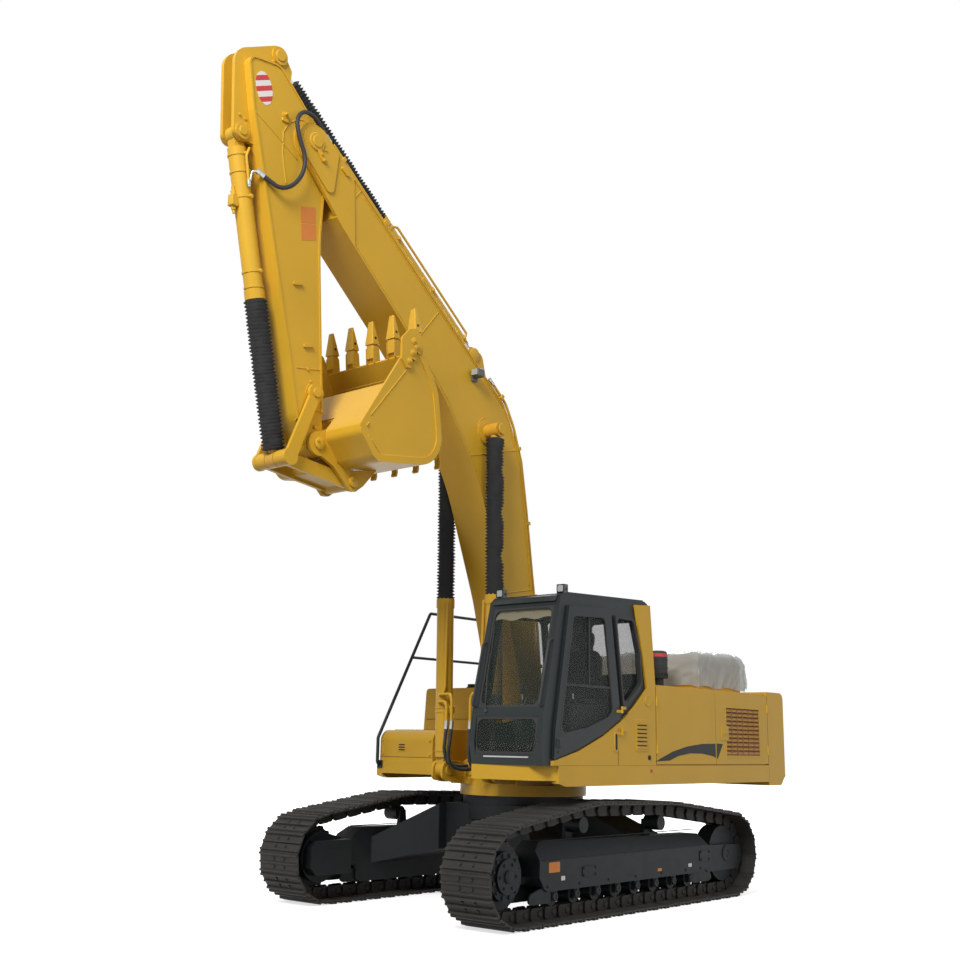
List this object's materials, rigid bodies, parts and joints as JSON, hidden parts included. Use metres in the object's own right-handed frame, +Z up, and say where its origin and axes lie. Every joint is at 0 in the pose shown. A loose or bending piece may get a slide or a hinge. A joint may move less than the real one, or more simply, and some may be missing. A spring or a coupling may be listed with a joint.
{
  "type": "crawler excavator",
  "caption": "Hydraulic crawler excavator with cab, slewing upper, gooseneck boom raised high, arm and a curled toothed bucket.",
  "frame": {"origin": "slewing axis at ground level", "axes": "+X forward along the tracks and the boom, +Y to the cab side (left), +Z up"},
  "size_m": [8.3848, 3.19, 8.4993],
  "materials": {
    "yellow_paint": "satin construction yellow",
    "dark_paint": "charcoal cab paint",
    "frame_paint": "black undercarriage paint",
    "track_steel": "worn black steel",
    "rod_steel": "ground chrome",
    "bellows": "black cloth-rubber boot",
    "glass": "green tinted",
    "cab_trim": "grained trim",
    "lamp": "lamp body",
    "engine": "painted casting",
    "dark_plastic": "black"
  },
  "bodies": {
    "undercarriage": {"car_body": "frame_paint", "slew_ring_lower": "frame_paint", "track_frame_left": "frame_paint", "track_frame_right": "frame_paint", "track_left": "track_steel", "track_right": "track_steel", "sprockets": "frame_paint", "idlers": "frame_paint", "bottom_rollers": "frame_paint", "carrier_rollers": "frame_paint", "travel_motor_guards": "frame_paint"},
    "upper": {"main_frame": "yellow_paint", "counterweight": "yellow_paint", "engine_bay": "yellow_paint", "engine_block": "engine", "cooler": "engine", "tanks": "yellow_paint", "toolbox": "yellow_paint", "handrail": "dark_paint", "pre_cleaner": "dark_plastic", "cab_shell": "dark_paint", "cab_side_panel": "yellow_paint", "windscreen": "glass", "cab_glass": "glass", "cab_interior": "cab_trim", "roof_lamps": "lamp"},
    "cab_door": {"cab_door": "dark_paint", "door_glass": "glass"},
    "left_front_door": {"door_left_front": "yellow_paint"},
    "left_rear_door": {"door_left_rear": "yellow_paint"},
    "right_rear_door": {"door_right_rear": "yellow_paint"},
    "hood": {"engine_hood": "yellow_paint"},
    "boom": {"boom": "yellow_paint"},
    "boom_barrels": {"boom_cylinder_barrel": "yellow_paint", "boom_cylinder_bellows": "bellows"},
    "boom_rods": {"boom_cylinder_rod": "rod_steel"},
    "arm": {"arm": "yellow_paint"},
    "arm_barrel": {"arm_cylinder_barrel": "yellow_paint", "arm_cylinder_bellows": "bellows"},
    "arm_rod": {"arm_cylinder_rod": "rod_steel"},
    "bucket": {"bucket": "yellow_paint", "bucket_teeth": "yellow_paint"},
    "bucket_barrel": {"bucket_cylinder_barrel": "yellow_paint", "bucket_cylinder_bellows": "bellows"},
    "bucket_rod": {"bucket_cylinder_rod": "rod_steel"},
    "guide_links": {"guide_links": "yellow_paint"},
    "h_link": {"h_link": "yellow_paint"}
  },
  "joints": [
    {"name": "slew", "type": "hinge", "parent": "undercarriage", "child": "upper", "pos_m": [0, 0, 0], "axis": [0, 0, 1], "continuous": true},
    {"name": "boom_lift", "type": "hinge", "parent": "upper", "child": "boom", "pos_m": [0.1, 0, 1.88], "axis": [0, 1, 0], "range_deg": [0, 85]},
    {"name": "boom_barrel_swing", "type": "hinge", "parent": "upper", "child": "boom_barrels", "pos_m": [0.96, 0, 1.39], "axis": [0, 1, 0], "range_deg": [0, 92.84]},
    {"name": "boom_rod_slide", "type": "slide", "parent": "boom_barrels", "child": "boom_rods", "axis": [0.0134, 0, 0.9999], "range_m": [-1.284, 0], "deforming": ["boom_cylinder_bellows"]},
    {"name": "arm_swing", "type": "hinge", "parent": "boom", "child": "arm", "pos_m": [3.75, 0, 7.57], "axis": [0, -1, 0], "range_deg": [0, 105]},
    {"name": "arm_barrel_swing", "type": "hinge", "parent": "boom", "child": "arm_barrel", "pos_m": [1.1, 0, 6.05], "axis": [0, -1, 0], "range_deg": [0, 7.3]},
    {"name": "arm_rod_slide", "type": "slide", "parent": "arm_barrel", "child": "arm_rod", "axis": [0.7944, 0, 0.6074], "range_m": [-1.412, 0], "deforming": ["arm_cylinder_bellows"]},
    {"name": "bucket_curl", "type": "hinge", "parent": "arm", "child": "bucket", "pos_m": [3.49, 0, 4.5], "axis": [0, -1, 0], "range_deg": [0, 150]},
    {"name": "bucket_barrel_swing", "type": "hinge", "parent": "arm", "child": "bucket_barrel", "pos_m": [4.56, 0, 7.4], "axis": [0, -1, 0], "range_deg": [0, 4.2]},
    {"name": "bucket_rod_slide", "type": "slide", "parent": "bucket_barrel", "child": "bucket_rod", "axis": [-0.2233, 0, -0.9748], "range_m": [-1.099, 0], "deforming": ["bucket_cylinder_bellows"]},
    {"name": "guide_link_swing", "type": "hinge", "parent": "arm", "child": "guide_links", "pos_m": [3.57, 0, 4.99], "axis": [0, -1, 0], "range_deg": [0, 96.56]},
    {"name": "h_link_swing", "type": "hinge", "parent": "bucket", "child": "h_link", "pos_m": [3.02, 0, 4.2], "axis": [0, -1, 0], "range_deg": [-79.77, 0]},
    {"name": "cab_door_hinge", "type": "hinge", "parent": "upper", "child": "cab_door", "pos_m": [0.2, 1.496, 1.93], "axis": [0, 0, 1], "range_deg": [0, 95]},
    {"name": "left_front_door_hinge", "type": "hinge", "parent": "upper", "child": "left_front_door", "pos_m": [-0.49, 1.492, 1.93], "axis": [0, 0, -1], "range_deg": [0, 110]},
    {"name": "left_rear_door_hinge", "type": "hinge", "parent": "upper", "child": "left_rear_door", "pos_m": [-3.074, 1.492, 1.93], "axis": [0, 0, 1], "range_deg": [0, 110]},
    {"name": "right_rear_door_hinge", "type": "hinge", "parent": "upper", "child": "right_rear_door", "pos_m": [-3.074, -1.492, 1.93], "axis": [0, 0, -1], "range_deg": [0, 110]},
    {"name": "hood_hinge", "type": "hinge", "parent": "upper", "child": "hood", "pos_m": [-2.992, 0, 2.365], "axis": [0, -1, 0], "range_deg": [0, 60]}
  ],
  "couplings": [
    {"joint": "boom_barrel_swing", "follows": "boom_lift", "ratio": 1.0863},
    {"joint": "boom_rod_slide", "follows": "boom_lift", "m_per_rad": -0.86266},
    {"joint": "arm_barrel_swing", "follows": "arm_swing", "ratio": 0.064747},
    {"joint": "arm_rod_slide", "follows": "arm_swing", "m_per_rad": -0.76855},
    {"joint": "bucket_barrel_swing", "follows": "bucket_curl", "ratio": 0.024669},
    {"joint": "bucket_rod_slide", "follows": "bucket_curl", "m_per_rad": -0.41816},
    {"joint": "guide_link_swing", "follows": "bucket_curl", "ratio": 0.64041},
    {"joint": "h_link_swing", "follows": "bucket_curl", "ratio": -0.52848}
  ]
}
